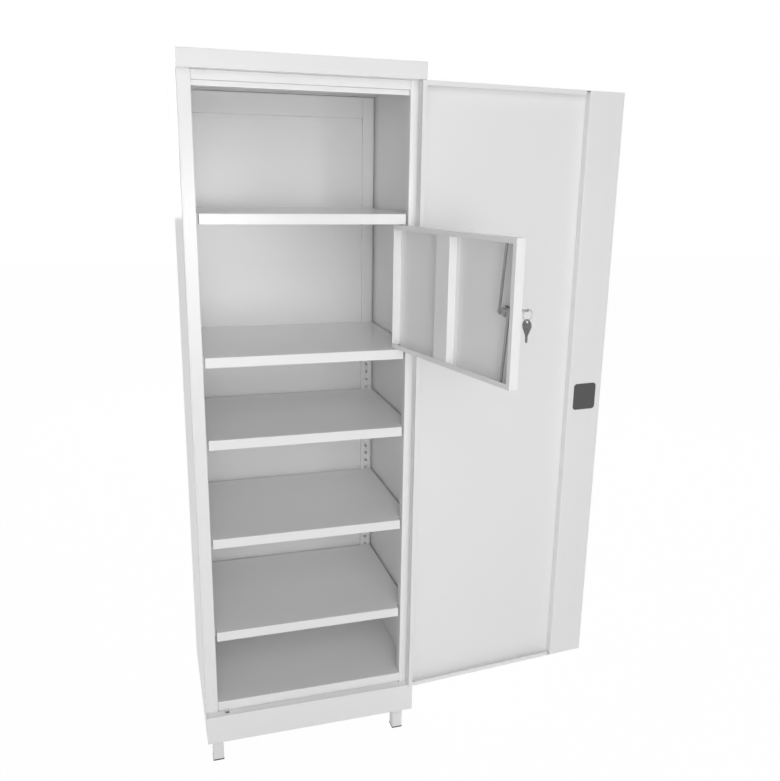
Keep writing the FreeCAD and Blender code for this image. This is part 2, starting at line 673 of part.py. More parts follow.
def guide_slot(x, y, level, height, side):
    """Cutter for the slot that a locking rod slides and rocks in.

    The rod tilts evenly while its pin runs round an arc, so half way through the quarter
    turn the rod's end stands off to one side.  side is 1 for the upper rod.
    """
    half_way = math.radians(HALF_TURN / 4)
    tilt = math.atan2(CRANK_RADIUS, height) / 2
    rise = height - CRANK_RADIUS * math.sin(half_way)
    swing = side * (CRANK_RADIUS * math.cos(half_way) - rise * math.tan(tilt))
    half = ROD_WIDTH / 2 + ROD_GUIDE_GAP
    room = ROD_THICKNESS / 2 + ROD_GUIDE_GAP
    low, high = min(x, x + swing) - half, max(x, x + swing) + half
    outline = [(low, y - room), (high, y - room), (high, y + room), (low, y + room)]
    return prism(outline, level - OVERRUN, level + OVERRUN)


def door_tray():
    """Main door: skin, flanges and lips, with the lips stopped short of the lock channel."""
    outline = [(0, 0), (DOOR_WIDTH, 0), (DOOR_WIDTH, DOOR_HEIGHT), (0, DOOR_HEIGHT)]
    door = tray(outline, DOOR_DEPTH, [DOOR_LIP, DOOR_LIP, DOOR_LIP, SHEET])
    lip_end = LIP_END - DOOR_FREE_EDGE
    low = -DOOR_DEPTH - OVERRUN
    top = -DOOR_DEPTH + SHEET
    lips = prism([(SHEET, SHEET), (lip_end, SHEET), (lip_end, DOOR_HEIGHT - SHEET),
                  (SHEET, DOOR_HEIGHT - SHEET)], low, top)
    rim = prism([(-OVERRUN, -OVERRUN), (LOCK_CHANNEL_WIDTH, -OVERRUN),
                 (LOCK_CHANNEL_WIDTH, DOOR_HEIGHT + OVERRUN), (-OVERRUN, DOOR_HEIGHT + OVERRUN)], low, top)
    door = stood_up(door.cut([lips, rim]), DOOR_FREE_EDGE, FRONT, DOOR_SILL)
    depth = FRONT + ROD_DEPTH
    radius = PIVOT_DIAMETER / 2
    spindle = cylinder(KNOB_SPINDLE_RADIUS + SEAT_GAP, 2 * OVERRUN,
                       vector(LOCK_X, FRONT - OVERRUN, LOCK_Z), Y_AXIS)
    return door.cut([spindle, bush_hole(radius, BUSH_WALL, DOOR_PIVOT, DOOR_SILL),
                     bush_hole(radius, BUSH_WALL, DOOR_PIVOT, DOOR_HEAD),
                     guide_slot(LOCK_X, depth, DOOR_HEAD, DOOR_HEAD - LOCK_Z, 1),
                     guide_slot(LOCK_X, depth, DOOR_SILL, LOCK_Z - DOOR_SILL, -1)])


def lock_channel():
    """Deep channel along the free edge, its face level with the lips and cut for the cover."""
    mid = SHEET / 2
    skin = FRONT + SHEET + mid
    face = FRONT + DOOR_DEPTH - mid
    wall = CHANNEL_WALL - mid
    corners = [in_plan(wall - CHANNEL_FOOT, skin), in_plan(wall, skin), in_plan(wall, face),
               in_plan(DOOR_FREE_EDGE, face)]
    channel = folded_strip(corners, vector(z=DOOR_HEIGHT)).translated(vector(z=DOOR_SILL))
    rim = FRONT + DOOR_DEPTH - SHEET
    trims = []
    for level in (DOOR_SILL, DOOR_HEAD):
        reach = SHEET + BEND
        trims.append(prism([(DOOR_FREE_EDGE, FRONT), (wall + SHEET, FRONT), (wall + SHEET, rim),
                            (DOOR_FREE_EDGE, rim)], level - reach, level + reach))
    window = cover_block(COVER_WINDOW_EDGE, 2 * OVERRUN)
    window.rotate(ORIGIN, X_AXIS, -QUARTER_TURN)
    window.translate(vector(LOCK_X, rim - OVERRUN, LOCK_Z + COVER_TOP_OFFSET))
    return channel.cut(trims + [window])


def rounded_plate(width, height, corner, thickness):
    """Plate with rounded corners, centred, its lower face at height zero."""
    plate = Part.makeBox(width, height, thickness, vector(-width / 2, -height / 2))
    edges = [edge for edge in plate.Edges
             if abs(edge.Vertexes[0].Point.z - edge.Vertexes[1].Point.z) > thickness / 2]
    return plate.makeFillet(corner, edges)


def cover_block(inset, height):
    """Block inside the cover's outline by an inset, centred."""
    width = COVER_WIDTH - 2 * inset
    tall = COVER_HEIGHT - 2 * inset
    return Part.makeBox(width, tall, height, vector(-width / 2, -tall / 2))


def lock_cover():
    """Moulded cover over the back of the lock, with a spigot in the channel's window."""
    plate = chamfer_level_edges(rounded_plate(COVER_WIDTH, COVER_HEIGHT, COVER_CORNER, COVER_STAND),
                              COVER_STAND, COVER_EDGE)
    inset = COVER_WINDOW_EDGE + SEAT_GAP
    spigot = cover_block(inset, SHEET + COVER_SPIGOT)
    cover = plate.fuse(spigot.translated(vector(z=-SHEET - COVER_SPIGOT)))
    cover.rotate(ORIGIN, X_AXIS, -QUARTER_TURN)
    return cover.translated(vector(LOCK_X, FRONT + DOOR_DEPTH, LOCK_Z + COVER_TOP_OFFSET))


def outward(shape, x, face, z):
    """A lock piece drawn with +Z outwards, placed in a door's outer face."""
    piece = shape.copy()
    piece.rotate(ORIGIN, X_AXIS, QUARTER_TURN)
    return piece.translated(vector(x, face, z))


def escutcheon():
    """Outer plate of the main lock, bored for the knob's spindle."""
    plate = chamfer_level_edges(rounded_plate(ESCUTCHEON_WIDTH, ESCUTCHEON_HEIGHT, ESCUTCHEON_CORNER,
                                              ESCUTCHEON_STAND), ESCUTCHEON_STAND, ESCUTCHEON_EDGE)
    bore = cylinder(KNOB_SPINDLE_RADIUS + PIN_GAP, 2 * OVERRUN + ESCUTCHEON_STAND, vector(z=-OVERRUN))
    return outward(plate.cut(bore), LOCK_X, FRONT, LOCK_Z)


def spindle_tail(crank_depth):
    """Square drive of a crank, drawn inwards from the crank's outer face."""
    return square_block(SPINDLE_SQUARE, CRANK_SHEET, vector(z=-crank_depth - CRANK_SHEET))


def knob():
    """Turning handle: wing grip on a spindle that runs through the escutcheon."""
    base = ESCUTCHEON_STAND + KNOB_FLOAT
    grip = rounded_plate(KNOB_WIDTH, KNOB_LENGTH, KNOB_CORNER, KNOB_HEIGHT)
    grip = chamfer_level_edges(grip, KNOB_HEIGHT, KNOB_EDGE).translated(vector(z=base))
    spindle = cylinder(KNOB_SPINDLE_RADIUS, CRANK_DEPTH + base, vector(z=-CRANK_DEPTH))
    seat = cylinder(CYLINDER_RADIUS + FIXED_PIN_GAP, CYLINDER_DEPTH + OVERRUN,
                    vector(z=base + KNOB_HEIGHT - CYLINDER_DEPTH))
    body = grip.cut(seat).fuse([spindle, spindle_tail(CRANK_DEPTH)])
    return outward(body, LOCK_X, FRONT, LOCK_Z)


def with_keyway(body, top):
    """Lock cylinder with its keyway cut from the top."""
    slot = Part.makeBox(KEYWAY_WIDTH, KEYWAY_LENGTH, KEYWAY_DEPTH + OVERRUN,
                        vector(-KEYWAY_WIDTH / 2, -KEYWAY_LENGTH / 2, top - KEYWAY_DEPTH))
    return body.cut(slot)


def key_cylinder():
    """Key cylinder in the middle of the knob's grip."""
    base = ESCUTCHEON_STAND + KNOB_FLOAT + KNOB_HEIGHT - CYLINDER_DEPTH
    length = CYLINDER_DEPTH + CYLINDER_STAND
    body = cylinder(CYLINDER_RADIUS, length, vector(z=base))
    return outward(with_keyway(body, base + length), LOCK_X, FRONT, LOCK_Z)


def crank(depth, x, face, z):
    """Two-armed crank with a headed pin at each end, arms level when the rods are in."""
    outer = -depth
    inner = outer - CRANK_SHEET
    tip = CRANK_RADIUS + CRANK_END
    outline = [(side * along, end * across) for side, end, swap in
               ((1, -1, False), (1, 1, True), (-1, 1, False), (-1, -1, True))
               for along, across in (((tip - CRANK_CORNER, CRANK_END), (tip, CRANK_END - CRANK_CORNER))
                                     [::-1 if swap else 1])]
    arm = prism(outline, inner, outer)
    reach = ROD_THICKNESS + 2 * ROD_EYE_GAP
    pins = []
    for side in (1, -1):
        centre = side * CRANK_RADIUS
        pins.append(cylinder(CRANK_PIN_DIAMETER / 2, reach, vector(centre, 0, inner - reach)))
        head = hexagon(CRANK_PIN_HEAD_WIDTH, CRANK_PIN_HEAD_HEIGHT,
                       inner - reach - CRANK_PIN_HEAD_HEIGHT)
        pins.append(head.translated(vector(centre)))
    side_length = SPINDLE_SQUARE + 2 * FIXED_PIN_GAP
    drive = Part.makeBox(side_length, side_length, CRANK_SHEET + 2 * OVERRUN,
                         vector(-side_length / 2, -side_length / 2, inner - OVERRUN))
    return outward(arm.cut(drive).fuse(pins), x, face, z)


def hexagon(width, height, low):
    """Six-sided block, centred, by its width across the flats."""
    corner = width / 2 / math.cos(math.radians(HALF_TURN / 6))
    points = [vector(corner, 0, low)]
    for step in range(1, 6):
        turn = FreeCAD.Rotation(Z_AXIS, step * 2 * HALF_TURN / 6)
        points.append(turn.multVec(vector(corner)) + vector(z=low))
    return flat_face(points).extrude(vector(z=height))


def crank_nut(depth, x, face, z):
    """Head of the screw that holds a crank on its square drive."""
    low = -depth - CRANK_SHEET - CRANK_NUT_HEIGHT
    return outward(hexagon(CRANK_NUT_WIDTH, CRANK_NUT_HEIGHT, low), x, face, z)


def locking_rod(height, depth, x, face, z, side):
    """Strip rod from a crank pin to the slot in the door's flange, drawn in.

    side is 1 for the upper rod, on the pin next to the hinge, and -1 for the lower one.
    """
    tilt = math.degrees(math.atan2(CRANK_RADIUS, height))
    length = math.hypot(CRANK_RADIUS, height) - ROD_TIP_DROP
    low = -ROD_THICKNESS / 2
    eye = cylinder(ROD_EYE_RADIUS, ROD_THICKNESS, vector(z=low))
    bar = Part.makeBox(ROD_WIDTH, length, ROD_THICKNESS, vector(-ROD_WIDTH / 2, 0, low))
    bore = cylinder(CRANK_PIN_DIAMETER / 2 + PIN_GAP, 2 * OVERRUN, vector(z=-OVERRUN))
    rod = eye.fuse(bar).cut(bore)
    rod.rotate(ORIGIN, Z_AXIS, tilt + (0 if side > 0 else HALF_TURN))
    rod.translate(vector(side * CRANK_RADIUS, 0, -depth - EYE_CENTRE))
    return outward(rod, x, face, z)


def glide():
    """Nylon button under the door that rides on the plinth's ledge as it shuts."""
    centre = vector(LIP_END, FRONT + GLIDE_INSET, DOOR_SILL)
    return cylinder(GLIDE_DIAMETER / 2, GLIDE_STAND, centre - vector(z=GLIDE_STAND))


def box_door_tray():
    """Strongbox door: skin, flanges, and lips on all but the hinge side."""
    outline = [(0, 0), (BOX_DOOR_WIDTH, 0), (BOX_DOOR_WIDTH, BOX_DOOR_HEIGHT), (0, BOX_DOOR_HEIGHT)]
    door = tray(outline, BOX_DOOR_DEPTH, [BOX_DOOR_LIP, SHEET, BOX_DOOR_LIP, BOX_DOOR_LIP])
    door = stood_up(door, BOX_DOOR_FREE_EDGE, BOX_DOOR_FACE, BOX_DOOR_SILL)
    barrel = outward(square_block(BARREL_SIZE + 2 * FIXED_PIN_GAP, 2 * OVERRUN, vector(z=-OVERRUN)),
                     BOX_LOCK_X, BOX_DOOR_FACE, BOX_LOCK_Z)
    radius = BOX_PIVOT_DIAMETER / 2
    depth = BOX_DOOR_FACE + BOX_ROD_DEPTH
    return door.cut([barrel, bush_hole(radius, BOX_BUSH_WALL, BOX_PIVOT, BOX_DOOR_SILL),
                     bush_hole(radius, BOX_BUSH_WALL, BOX_PIVOT, BOX_DOOR_HEAD),
                     guide_slot(BOX_LOCK_X, depth, BOX_DOOR_HEAD, BOX_DOOR_HEAD - BOX_LOCK_Z, 1),
                     guide_slot(BOX_LOCK_X, depth, BOX_DOOR_SILL, BOX_LOCK_HEIGHT, -1)])


def stiffener():
    """Hat section down the inside of the strongbox door."""
    mid = SHEET / 2
    foot = BOX_DOOR_FACE + SHEET + mid
    face = BOX_DOOR_FACE + BOX_DOOR_DEPTH - SHEET - SEAT_GAP - mid
    near = BOX_DOOR_HINGE_EDGE - STIFFENER_START
    far = near - STIFFENER_WIDTH
    corners = [in_plan(near + STIFFENER_FOOT, foot), in_plan(near - mid, foot),
               in_plan(near - mid, face), in_plan(far + mid, face), in_plan(far + mid, foot),
               in_plan(far - STIFFENER_FOOT, foot)]
    reach = BOX_DOOR_HEIGHT - 2 * (SHEET + BEND)
    return folded_strip(corners, vector(z=reach)).translated(vector(z=BOX_DOOR_SILL + SHEET + BEND))


def lock_barrel():
    """Fixed body of the strongbox lock: round head outside, square shank through the door."""
    head = cylinder(BARREL_HEAD_RADIUS, BARREL_HEAD_HEIGHT, ORIGIN)
    length = BOX_CRANK_DEPTH - SEAT_GAP
    body = square_block(BARREL_SIZE, length, vector(z=-length))
    bore = cylinder(PLUG_RADIUS + PIN_GAP, length + BARREL_HEAD_HEIGHT + 2 * OVERRUN,
                    vector(z=-length - OVERRUN))
    return outward(head.fuse(body).cut(bore), BOX_LOCK_X, BOX_DOOR_FACE, BOX_LOCK_Z)


def barrel_nut():
    """Square clamp plate that holds the barrel to the strongbox door's skin."""
    low = -SHEET - BARREL_NUT_HEIGHT
    hole = square_block(BARREL_SIZE + 2 * FIXED_PIN_GAP, BARREL_NUT_HEIGHT + 2 * OVERRUN,
                        vector(z=low - OVERRUN))
    nut = square_block(BARREL_NUT_WIDTH, BARREL_NUT_HEIGHT, vector(z=low)).cut(hole)
    return outward(nut, BOX_LOCK_X, BOX_DOOR_FACE, BOX_LOCK_Z)


def lock_plug():
    """Plug that the key turns, with the drive for the crank at its inner end."""
    top = BARREL_HEAD_HEIGHT + PLUG_STAND
    body = cylinder(PLUG_RADIUS, BOX_CRANK_DEPTH + top, vector(z=-BOX_CRANK_DEPTH))
    body = with_keyway(body, top).fuse(spindle_tail(BOX_CRANK_DEPTH))
    return outward(body, BOX_LOCK_X, BOX_DOOR_FACE, BOX_LOCK_Z)


def opened(shape):
    """Main door piece in the open position."""
    piece = shape.copy()
    piece.rotate(DOOR_PIVOT, Z_AXIS, DOOR_OPEN_ANGLE)
    return piece


def box_opened(shape):
    """Strongbox door piece in the open position."""
    piece = shape.copy()
    piece.rotate(BOX_PIVOT, Z_AXIS, BOX_DOOR_OPEN_ANGLE)
    return piece


def build_carcass():
    """Fixed sheet-metal body."""
    right = side_panel()
    save("right_side_panel", right)
    save("left_side_panel", mirrored(right))
    save("back_panel", back_panel())
    save("top_cap", top_cap())
    save("ceiling_panel", ceiling_panel())
    save("header_rail", header_rail())
    save("rear_top_rail", rear_top_rail())
    save("plinth", plinth())
    save("floor_panel", floor_panel())
    for name, upright in (("front", front_upright()), ("rear", rear_upright())):
        save(name + "_right_upright", upright)
        save(name + "_left_upright", mirrored(upright))


def build_shelves():
    """Fixed and loose shelves, with the clips under the loose ones."""
    save("strongbox_roof", strongbox_roof())
    save("strongbox_floor", strongbox_floor())
    clips = []
    for number, top in enumerate(LOOSE_SHELF_TOPS, 1):
        save("shelf_" + str(number), loose_shelf().translated(vector(z=top)))
        ledge = top - SHELF_FLANGE
        for side in (1, -1):
            for toward, web in ((1, FRONT_UPRIGHT_BACK), (-1, REAR_UPRIGHT_FRONT)):
                clips.append(shelf_clip(toward).translated(vector(side * CLIP_LINE, web, ledge)))
    save("shelf_clips", clips)


def build_legs():
    """Four legs and their plugs."""
    for name, front in (("front", LEG_FRONT), ("rear", LEG_REAR)):
        save(name + "_right_leg", leg(front))
        save(name + "_left_leg", mirrored(leg(front)))
        save(name + "_right_foot", foot_plug(front))
        save(name + "_left_foot", mirrored(foot_plug(front)))


def build_pivots():
    """Fixed pivot pins of both doors."""
    main, box = PIVOT_DIAMETER / 2, BOX_PIVOT_DIAMETER / 2
    main_top, main_low = DOOR_TOP_GAP + PIVOT_REACH, DOOR_LEDGE_GAP + PIVOT_REACH
    box_top, box_low = BOX_DOOR_TOP_GAP + BOX_PIVOT_REACH, BOX_DOOR_FLOOR_GAP + BOX_PIVOT_REACH
    save("door_pivot_top", pivot_pin(main, DOOR_PIVOT, CAP_UNDERSIDE, -1, main_top))
    save("door_pivot_bottom", pivot_pin(main, DOOR_PIVOT, LEDGE, 1, main_low))
    save("strongbox_pivot_top", pivot_pin(box, BOX_PIVOT, ROOF_UNDERSIDE, -1, box_top))
    save("strongbox_pivot_bottom", pivot_pin(box, BOX_PIVOT, BOX_FLOOR_TOP, 1, box_low))


def build_main_door():
    """Main door with its lock."""
    radius = PIVOT_DIAMETER / 2
    lock = (LOCK_X, FRONT, LOCK_Z)
    save("door_tray", opened(door_tray()))
    save("lock_channel", opened(lock_channel()))
    save("lock_cover", opened(lock_cover()))
    save("escutcheon", opened(escutcheon()))
    save("door_glide", opened(glide()))
    save("door_bushes", [
        opened(pivot_bush(radius, BUSH_WALL, DOOR_PIVOT, DOOR_HEAD, DOOR_TOP_GAP, 1)),
        opened(pivot_bush(radius, BUSH_WALL, DOOR_PIVOT, DOOR_SILL, DOOR_LEDGE_GAP, -1))])
    save("knob", opened(knob()))
    save("key_cylinder", opened(key_cylinder()))
    save("main_crank", opened(crank(CRANK_DEPTH, *lock)))
    save("main_crank_nut", opened(crank_nut(CRANK_DEPTH, *lock)))
    save("main_upper_rod", opened(locking_rod(DOOR_HEAD - LOCK_Z, CRANK_DEPTH, *lock, 1)))
    save("main_lower_rod", opened(locking_rod(LOCK_Z - DOOR_SILL, CRANK_DEPTH, *lock, -1)))


def build_strongbox_door():
    """Strongbox door with its lock."""
    radius = BOX_PIVOT_DIAMETER / 2
    lock = (BOX_LOCK_X, BOX_DOOR_FACE, BOX_LOCK_Z)
    save("strongbox_door_tray", box_opened(box_door_tray()))
    save("strongbox_stiffener", box_opened(stiffener()))
    save("strongbox_lock_barrel", box_opened(lock_barrel()))
    save("strongbox_barrel_nut", box_opened(barrel_nut()))
    save("strongbox_bushes", [
        box_opened(pivot_bush(radius, BOX_BUSH_WALL, BOX_PIVOT, BOX_DOOR_HEAD, BOX_DOOR_TOP_GAP, 1)),
        box_opened(pivot_bush(radius, BOX_BUSH_WALL, BOX_PIVOT, BOX_DOOR_SILL,
                              BOX_DOOR_FLOOR_GAP, -1))])
    save("strongbox_lock_plug", box_opened(lock_plug()))
    save("strongbox_crank", box_opened(crank(BOX_CRANK_DEPTH, *lock)))
    save("strongbox_crank_nut", box_opened(crank_nut(BOX_CRANK_DEPTH, *lock)))
    save("strongbox_upper_rod",
         box_opened(locking_rod(BOX_DOOR_HEAD - BOX_LOCK_Z, BOX_CRANK_DEPTH, *lock, 1)))
    save("strongbox_lower_rod",
         box_opened(locking_rod(BOX_LOCK_Z - BOX_DOOR_SILL, BOX_CRANK_DEPTH, *lock, -1)))


os.makedirs("parts", exist_ok=True)
build_carcass()
build_shelves()
build_legs()
build_pivots()
build_main_door()
build_strongbox_door()
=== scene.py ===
"""Looks of a tall white medical cabinet with an inner strongbox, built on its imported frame.

The sheet-metal pieces keep their solid shapes and get powder coat, zinc and moulded finishes.
Added here are the pop rivets of the back, the strip that closes the plinth from behind, and the
keys in the strongbox lock, which people take out before they shut the main door.
"""
import bmesh
import bpy
import json
import logging
import math
from dataclasses import dataclass, field
from enum import Enum
from mathutils import Matrix, Vector

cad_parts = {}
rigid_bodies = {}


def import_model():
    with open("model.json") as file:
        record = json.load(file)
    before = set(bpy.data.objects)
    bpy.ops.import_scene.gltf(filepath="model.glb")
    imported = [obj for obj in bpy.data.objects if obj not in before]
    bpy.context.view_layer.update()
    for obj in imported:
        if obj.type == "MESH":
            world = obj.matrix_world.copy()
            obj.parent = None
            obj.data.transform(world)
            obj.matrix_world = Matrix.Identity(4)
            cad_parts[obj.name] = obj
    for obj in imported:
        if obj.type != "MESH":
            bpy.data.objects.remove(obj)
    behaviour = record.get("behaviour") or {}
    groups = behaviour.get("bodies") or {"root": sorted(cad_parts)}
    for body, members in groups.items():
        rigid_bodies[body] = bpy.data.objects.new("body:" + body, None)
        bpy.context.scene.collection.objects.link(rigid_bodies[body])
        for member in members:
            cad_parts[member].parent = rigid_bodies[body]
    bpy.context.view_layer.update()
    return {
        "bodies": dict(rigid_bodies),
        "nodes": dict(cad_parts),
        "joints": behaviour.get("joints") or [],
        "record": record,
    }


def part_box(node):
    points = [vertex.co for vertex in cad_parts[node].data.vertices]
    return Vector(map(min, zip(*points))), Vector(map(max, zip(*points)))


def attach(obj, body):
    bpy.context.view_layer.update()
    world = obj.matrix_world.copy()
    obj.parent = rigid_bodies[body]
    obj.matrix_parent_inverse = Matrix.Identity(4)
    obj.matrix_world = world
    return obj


LOG = logging.getLogger("cabinet")
MM = 0.001
SEAM_M = 1e-6                   # corners closer than this are one where a turned shape closes
SAME_M = 1e-7                   # corners closer than this are one in every made mesh
NOISE_DETAIL = 2.0
GRAIN_ROUGHNESS = 0.55
MOTTLE_RANGE = (0.3, 0.7)       # where most values of the mottle's noise lie
EDGE_SAMPLES = 4


class Body(Enum):
    """Moving bodies that a piece can ride on."""
    CARCASS = "carcass"
    BOX_DOOR = "strongbox_door"
    BOX_LOCK = "strongbox_lock"


class Slot(Enum):
    """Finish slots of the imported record."""
    COAT = "white_powder_coat"
    ZINC = "zinc_steel"
    CHROME = "chrome"
    GREY = "grey_plastic"
    BLACK = "black_plastic"
    NYLON = "nylon"


def linear(hex_code: str) -> tuple[float, float, float, float]:
    """Turn an sRGB hex colour to linear light.

    Args:
        hex_code: Six hex digits after a hash sign.

    Returns:
        Linear red, green, blue and an alpha of one.
    """
    # The sRGB curve: a straight foot up to 0.04045 and a power of 2.4 above it.
    channels = [int(hex_code[i:i + 2], 16) / 255 for i in (1, 3, 5)]
    red, green, blue = [c / 12.92 if c <= 0.04045 else ((c + 0.055) / 1.055) ** 2.4
                        for c in channels]
    return (red, green, blue, 1.0)


def add_node(tree: bpy.types.NodeTree, kind: str, settings: dict | None = None,
             inputs: dict | None = None) -> bpy.types.Node:
    """Add one node with its settings, values and links.

    Args:
        tree: Tree that gets the node.
        kind: Node type name.
        settings: Attributes of the node.
        inputs: Socket name or index to a value or to an output socket.

    Returns:
        The new node.
    """
    node = tree.nodes.new(kind)
    for name, value in (settings or {}).items():
        setattr(node, name, value)
    for name, value in (inputs or {}).items():
        if isinstance(value, bpy.types.NodeSocket):
            tree.links.new(value, node.inputs[name])
        else:
            node.inputs[name].default_value = value
    return node


def seen_ray(tree: bpy.types.NodeTree) -> bpy.types.NodeSocket:
    """Add the test for rays that show a surface, straight, mirrored or through glass.

    Args:
        tree: Tree of a material or of the world.

    Returns:
        A socket that is 1 for those rays and 0 for the rays that carry light to the object.
    """
    ray = add_node(tree, "ShaderNodeLightPath")
    seen = ray.outputs["Is Camera Ray"]
    for kind in ("Is Glossy Ray", "Is Transmission Ray"):
        seen = add_node(tree, "ShaderNodeMath", {"operation": "MAXIMUM"}, {
            0: seen, 1: ray.outputs[kind]}).outputs[0]
    return seen


@dataclass(frozen=True)
class Finish:
    """One surface finish: colour, gloss and a fine relief.

    Attributes:
        name: Material's name.
        colour: Main sRGB hex colour.
        tint: Second hex colour that a faint mottle mixes in.
        metallic: Metal share of the shader.
        roughness: Middle roughness.
        roughness_swing: How far the roughness moves either way.
        grain_mm: Size of the relief's cells.
        relief_mm: Height of the relief.
        mottle_mm: Size of the mottle's patches.
        edge_mm: Radius that sharp folds and edges are shaded with.
        stretch: How the relief is drawn out along X, Y and Z.
        ior: Index of refraction.
    """
    name: str
    colour: str
    tint: str
    metallic: float
    roughness: float
    roughness_swing: float
    grain_mm: float
    relief_mm: float
    mottle_mm: float
    edge_mm: float
    stretch: tuple[float, float, float] = (1.0, 1.0, 1.0)
    ior: float = 1.5

    def material(self) -> bpy.types.Material:
        """Make the material, or find it where it is made already.

        Returns:
            The material.
        """
        ready = bpy.data.materials.get(self.name)
        if ready:
            return ready
        made = bpy.data.materials.new(self.name)
        made.use_nodes = True
        tree = made.node_tree
        shader = tree.nodes["Principled BSDF"]
        shader.inputs["Metallic"].default_value = self.metallic
        shader.inputs["IOR"].default_value = self.ior
        place = add_node(tree, "ShaderNodeTexCoord")
        scaled = add_node(tree, "ShaderNodeMapping",
                          inputs={"Vector": place.outputs["Object"], "Scale": self.stretch})
        grain = add_node(tree, "ShaderNodeTexNoise", inputs={
            "Vector": scaled.outputs["Vector"], "Scale": 1 / (self.grain_mm * MM),
            "Detail": NOISE_DETAIL, "Roughness": GRAIN_ROUGHNESS})
        mottle = add_node(tree, "ShaderNodeTexNoise", inputs={
            "Vector": scaled.outputs["Vector"], "Scale": 1 / (self.mottle_mm * MM),
            "Detail": NOISE_DETAIL})
        colour = add_node(tree, "ShaderNodeMix", {"data_type": "RGBA"}, {
            "Factor": mottle.outputs["Fac"], "A": linear(self.colour), "B": linear(self.tint)})
        rough = add_node(tree, "ShaderNodeMapRange", inputs={
            "Value": mottle.outputs["Fac"],
            "From Min": MOTTLE_RANGE[0], "From Max": MOTTLE_RANGE[1],
            "To Min": self.roughness - self.roughness_swing,
            "To Max": self.roughness + self.roughness_swing})
        rounded = add_node(tree, "ShaderNodeBevel", {"samples": EDGE_SAMPLES},
                           {"Radius": self.edge_mm * MM})
        bump = add_node(tree, "ShaderNodeBump", inputs={
            "Height": grain.outputs["Fac"], "Strength": 1.0, "Distance": self.relief_mm * MM,
            "Normal": rounded.outputs["Normal"]})
        tree.links.new(colour.outputs["Result"], shader.inputs["Base Color"])
        tree.links.new(rough.outputs["Result"], shader.inputs["Roughness"])
        tree.links.new(bump.outputs["Normal"], shader.inputs["Normal"])
        return made


# Epoxy powder coat sprayed on folded steel: an even white with a soft gloss, a faint orange peel
# of 1.5 mm cells 2 micrometres high, and the soft edges that the coat leaves on folds.
POWDER_COAT = Finish("powder_coat_white", "#F5F5F5", "#F3F3F3", 0.0, 0.23, 0.01, 1.5, 0.002,
                     3.0, 0.9)
# Bright zinc plate on blanked rods and cranks: pale grey, with fine rolling lines along the rods.
ZINC_PLATE = Finish("zinc_plated_steel", "#B6B7B8", "#A2A3A4", 1.0, 0.36, 0.06, 0.9, 0.006,
                    14.0, 0.3, (1.0, 1.0, 0.08))
# Nickel-chrome plate on the die-cast lock: bright, a little dulled, with slight casting waves.
NICKEL = Finish("nickel_plated_zinc_casting", "#BFBFBE", "#ADADAC", 1.0, 0.2, 0.04, 3.0, 0.006,
                9.0, 0.4)
# Spark-textured ABS: dark grey, dull, with a fine even pebble from the mould.
GREY_ABS = Finish("moulded_abs_dark_grey", "#4B4B4B", "#525252", 0.0, 0.52, 0.04, 0.7, 0.02,
                  5.0, 0.6)
# Polyethylene foot plugs: black, waxy and scuffed.
BLACK_PE = Finish("moulded_polyethylene_black", "#262626", "#303030", 0.0, 0.55, 0.06, 1.2, 0.02,
                  6.0, 0.6)
# Natural nylon: milky and smooth, with a low sheen.
NYLON = Finish("turned_nylon_natural", "#D8D6CE", "#CFCDC4", 0.0, 0.42, 0.04, 0.8, 0.006,
               6.0, 0.4)
# Nickel silver of cut keys: darker than the plated lock, worn brighter by fingers.
KEY_STEEL = Finish("nickel_silver_key", "#A8A7A4", "#8C8B89", 1.0, 0.34, 0.08, 0.8, 0.01,
                   5.0, 0.3)

FINISH_OF_SLOT = {Slot.COAT: POWDER_COAT, Slot.ZINC: ZINC_PLATE, Slot.CHROME: NICKEL,
                  Slot.GREY: GREY_ABS, Slot.BLACK: BLACK_PE, Slot.NYLON: NYLON}


def mesh_object(name: str, shape: bmesh.types.BMesh, finish: Finish) -> bpy.types.Object:
    """Turn a bmesh into an object with one finish.

    Args:
        name: Object's name.
        shape: Mesh in metres, already in its place.
        finish: Its finish.

    Returns:
        The object, at the origin.
    """
    bmesh.ops.remove_doubles(shape, verts=shape.verts, dist=SAME_M)
    bmesh.ops.recalc_face_normals(shape, faces=shape.faces)
    mesh = bpy.data.meshes.new(name)
    shape.to_mesh(mesh)
    shape.free()
    piece = bpy.data.objects.new(name, mesh)
    bpy.context.scene.collection.objects.link(piece)
    mesh.materials.append(finish.material())
    return piece


def smooth_by_angle(piece: bpy.types.Object, degrees: float = 32.0) -> None:
    """Shade a piece smooth but for its sharp edges.

    Args:
        piece: Mesh object.
        degrees: Fold from which an edge is sharp.
    """
    for face in piece.data.polygons:
        face.use_smooth = True
    shape = bmesh.new()
    shape.from_mesh(piece.data)
    for edge in shape.edges:
        if len(edge.link_faces) == 2:
            edge.smooth = edge.calc_face_angle() < math.radians(degrees)
    shape.to_mesh(piece.data)
    shape.free()


def lathe(profile: list[tuple[float, float]], steps: int, place: Matrix) -> bmesh.types.BMesh:
    """Turn a profile about its own Z axis and put it in place.

    Args:
        profile: Radius and height pairs in millimetres, from axis to axis.
        steps: Sides of the turned shape.
        place: Where the shape's own axes go, in metres.

    Returns:
        The turned mesh.
    """
    shape = bmesh.new()
    verts = [shape.verts.new((radius * MM, 0, height * MM)) for radius, height in profile]
    edges = [shape.edges.new(pair) for pair in zip(verts, verts[1:])]
    bmesh.ops.spin(shape, geom=verts + edges, cent=(0, 0, 0), axis=(0, 0, 1),
                   angle=2 * math.pi, steps=steps, use_duplicate=False)
    bmesh.ops.remove_doubles(shape, verts=shape.verts, dist=SEAM_M)
    shape.transform(place)
    return shape


